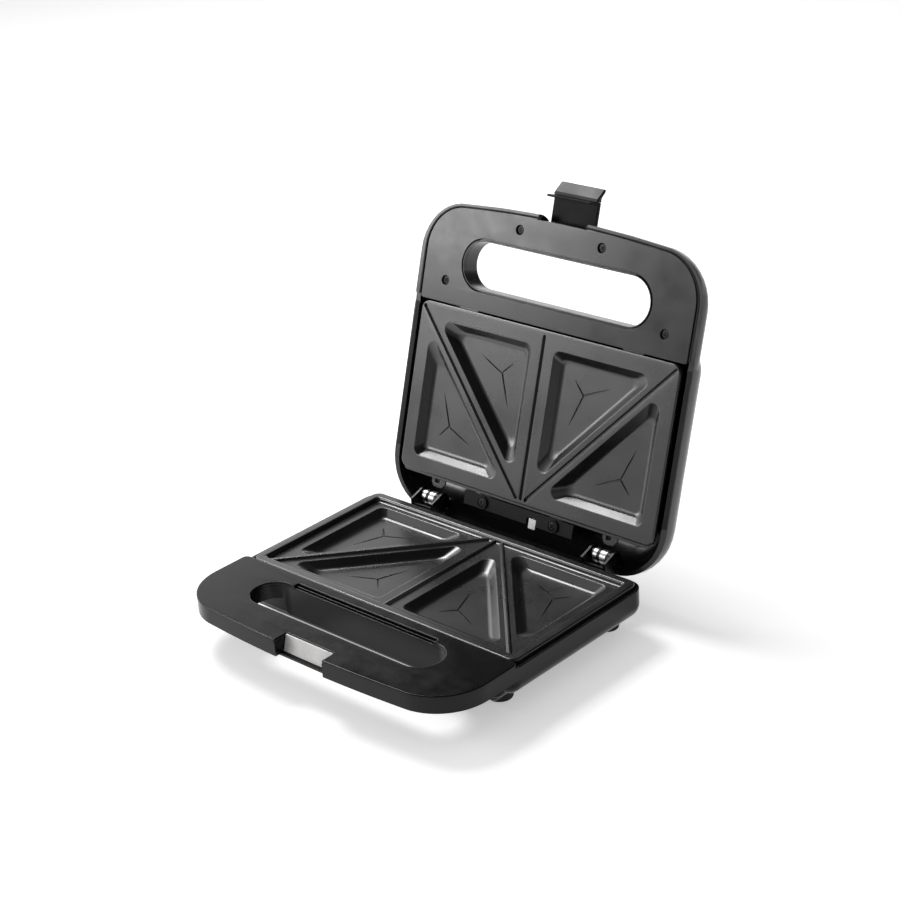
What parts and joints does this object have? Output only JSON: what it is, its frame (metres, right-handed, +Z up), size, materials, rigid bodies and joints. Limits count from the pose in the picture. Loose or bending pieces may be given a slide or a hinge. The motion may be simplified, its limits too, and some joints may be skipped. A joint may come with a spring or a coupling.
{
  "type": "sandwich toaster",
  "caption": "Hinged-lid sandwich toaster with triangular pocket plates, looped handles with finger slots and a swinging front latch, shown open.",
  "frame": {"origin": "on the table, under the middle of the open appliance's outline; the plate centre lies 14.8 mm towards the handles", "axes": "+X to the right of somebody facing the handles, +Y towards the hinge, +Z up"},
  "size_m": [0.23, 0.2773, 0.2419],
  "materials": {
    "base_plastic": "satin",
    "lid_plastic": "satin",
    "dark_plastic": "matte",
    "latch_plastic": "semi gloss",
    "coated_plate": "non-stick coated",
    "satin_steel": "satin",
    "bright_steel": "bright",
    "screw_zinc": "zinc plated",
    "element_steel": "oxidised",
    "foot_rubber": "matte",
    "ceramic": "glazed",
    "wire_sleeve": "silicone",
    "red_lens": "clear tinted",
    "green_lens": "clear tinted",
    "lamp_glass": "clear"
  },
  "bodies": {
    "base": {"lower_shell": "base_plastic", "lower_handle_panel": "base_plastic", "strike_plate": "satin_steel", "lower_plate": "coated_plate", "lower_element": "element_steel", "lower_heat_shield": "satin_steel", "thermostat": "ceramic", "thermal_fuse": "ceramic", "terminal_block": "ceramic", "base_wiring": "wire_sleeve", "cord_bushing": "foot_rubber", "bottom_screws": "screw_zinc", "lower_plate_screws": "screw_zinc", "hinge_bracket_left": "bright_steel", "hinge_bracket_right": "bright_steel", "bracket_screws": "screw_zinc", "hinge_pin_left": "bright_steel", "hinge_pin_right": "bright_steel", "foot_front_left": "foot_rubber", "foot_front_right": "foot_rubber", "foot_rear_left": "foot_rubber", "foot_rear_right": "foot_rubber"},
    "lid": {"lid_shell": "lid_plastic", "lid_frame": "lid_plastic", "lid_frame_screws": "dark_plastic", "upper_plate": "coated_plate", "upper_element": "element_steel", "upper_heat_shield": "satin_steel", "hinge_leaf_left": "bright_steel", "hinge_leaf_right": "bright_steel", "leaf_screws": "screw_zinc", "wire_cover": "dark_plastic", "wire_cover_screws": "screw_zinc", "wire_clip": "bright_steel", "power_lens": "red_lens", "ready_lens": "green_lens", "lamp_holder": "ceramic", "indicator_lamps": "lamp_glass", "lid_wiring": "wire_sleeve", "latch_pin": "bright_steel"},
    "latch": {"latch": "latch_plastic"}
  },
  "joints": [
    {"name": "lid_hinge", "type": "hinge", "parent": "base", "child": "lid", "pos_m": [0, 0.05705, 0.034], "axis": [1, 0, 0], "range_deg": [0, 107.5]},
    {"name": "latch_hinge", "type": "hinge", "parent": "lid", "child": "latch", "pos_m": [0, 0.12194, 0.21622], "axis": [1, 0, 0], "range_deg": [0, 90]}
  ]
}
